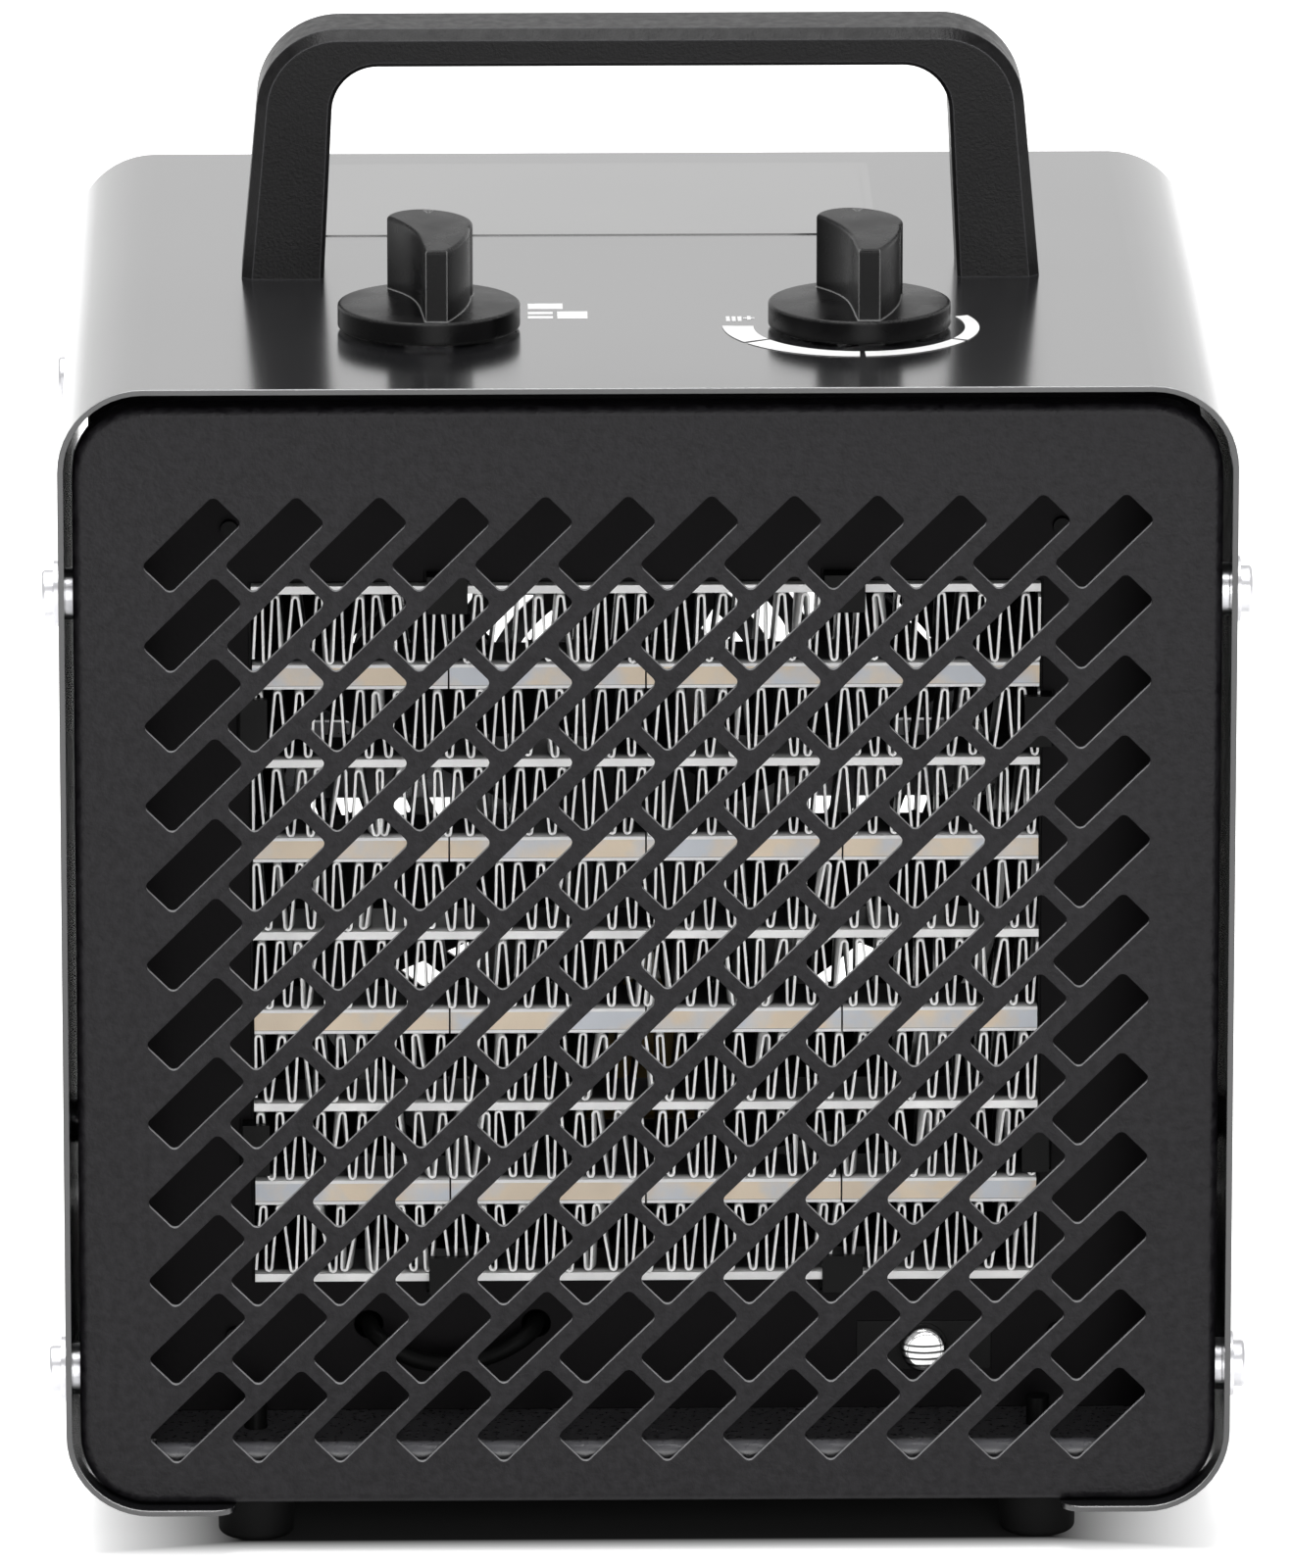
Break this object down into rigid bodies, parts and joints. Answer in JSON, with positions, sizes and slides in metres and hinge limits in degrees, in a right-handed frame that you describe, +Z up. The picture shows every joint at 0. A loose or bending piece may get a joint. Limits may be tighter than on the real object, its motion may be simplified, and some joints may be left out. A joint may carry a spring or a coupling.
{
  "type": "ceramic heater",
  "caption": "Small portable fan heater: black folded-steel case, slanted-slot grille over a ceramic element, twin rotary knobs and a carrying handle on top.",
  "frame": {"origin": "on the floor, under the middle of the overall box", "axes": "+X to the right seen from the front, +Y from the grille to the rear, +Z up"},
  "size_m": [0.206, 0.187, 0.2517],
  "materials": {
    "case_paint": "semi-gloss black powder paint",
    "grille_paint": "fine matte black paint",
    "inner_paint": "satin black paint",
    "aluminium_fins": "bright folded sheet",
    "ceramic_stone": "matte fired ceramic",
    "holder_plastic": "matte black moulding",
    "bright_metal": "bright zinc plated",
    "lead_rubber": "shiny black sleeve",
    "fan_plastic": "matte black moulding",
    "lamination_steel": "plain rolled steel",
    "coil_tape": "yellow wrapped tape",
    "die_cast": "plain cast metal",
    "bush_bronze": "sintered bronze",
    "knob_plastic": "fine textured black",
    "handle_plastic": "fine textured black",
    "label_film": "bare silver grey film",
    "foot_rubber": "matte black rubber"
  },
  "bodies": {
    "case": {"base_tray": "inner_paint", "bearing_bridge_front": "die_cast", "bearing_bridge_rear": "die_cast", "bearing_bushes": "bush_bronze", "bracket_screws": "bright_metal", "cable_gland": "holder_plastic", "case_screws": "bright_metal", "ceramic_bar_1": "ceramic_stone", "ceramic_bar_2": "ceramic_stone", "ceramic_bar_3": "ceramic_stone", "ceramic_bar_4": "ceramic_stone", "contact_plate_1": "aluminium_fins", "contact_plate_2": "aluminium_fins", "contact_plate_3": "aluminium_fins", "contact_plate_4": "aluminium_fins", "contact_plate_5": "aluminium_fins", "control_nuts": "bright_metal", "cutout_carrier": "holder_plastic", "element_baffle": "inner_paint", "element_holder_left": "holder_plastic", "element_holder_right": "holder_plastic", "element_lead": "lead_rubber", "element_rail_bottom": "holder_plastic", "element_rail_top": "holder_plastic", "element_screws": "bright_metal", "fan_bulkhead": "inner_paint", "fin_pair_1": "aluminium_fins", "fin_pair_2": "aluminium_fins", "fin_pair_3": "aluminium_fins", "fin_pair_4": "aluminium_fins", "foot_front_left": "foot_rubber", "foot_front_right": "foot_rubber", "foot_rear_left": "foot_rubber", "foot_rear_right": "foot_rubber", "foot_screws": "bright_metal", "front_grille": "grille_paint", "gland_nut": "holder_plastic", "handle": "handle_plastic", "handle_screws": "bright_metal", "label_plate": "label_film", "motor_bracket": "bright_metal", "motor_coil": "coil_tape", "motor_screws": "bright_metal", "outer_cover": "case_paint", "rear_panel": "case_paint", "rivet_nuts": "bright_metal", "stator_stack": "lamination_steel", "supply_lead": "lead_rubber", "switch_body": "holder_plastic", "terminal_block": "holder_plastic", "thermal_cutout": "bright_metal", "thermostat_body": "holder_plastic"},
    "switch_dial": {"switch_knob": "knob_plastic", "switch_spindle": "bright_metal"},
    "thermostat_dial": {"thermostat_knob": "knob_plastic", "thermostat_spindle": "bright_metal"},
    "fan": {"fan_impeller": "fan_plastic", "motor_shaft": "bright_metal", "motor_rotor": "lamination_steel"}
  },
  "joints": [
    {"name": "switch_turn", "type": "hinge", "parent": "case", "child": "switch_dial", "pos_m": [-0.0369, -0.05, 0.212], "axis": [0, 0, 1], "range_deg": [0, 135]},
    {"name": "thermostat_turn", "type": "hinge", "parent": "case", "child": "thermostat_dial", "pos_m": [0.0369, -0.05, 0.212], "axis": [0, 0, 1], "range_deg": [-120, 120]},
    {"name": "fan_spin", "type": "hinge", "parent": "case", "child": "fan", "pos_m": [0, -0.007, 0.1046], "axis": [0, 1, 0], "continuous": true}
  ]
}
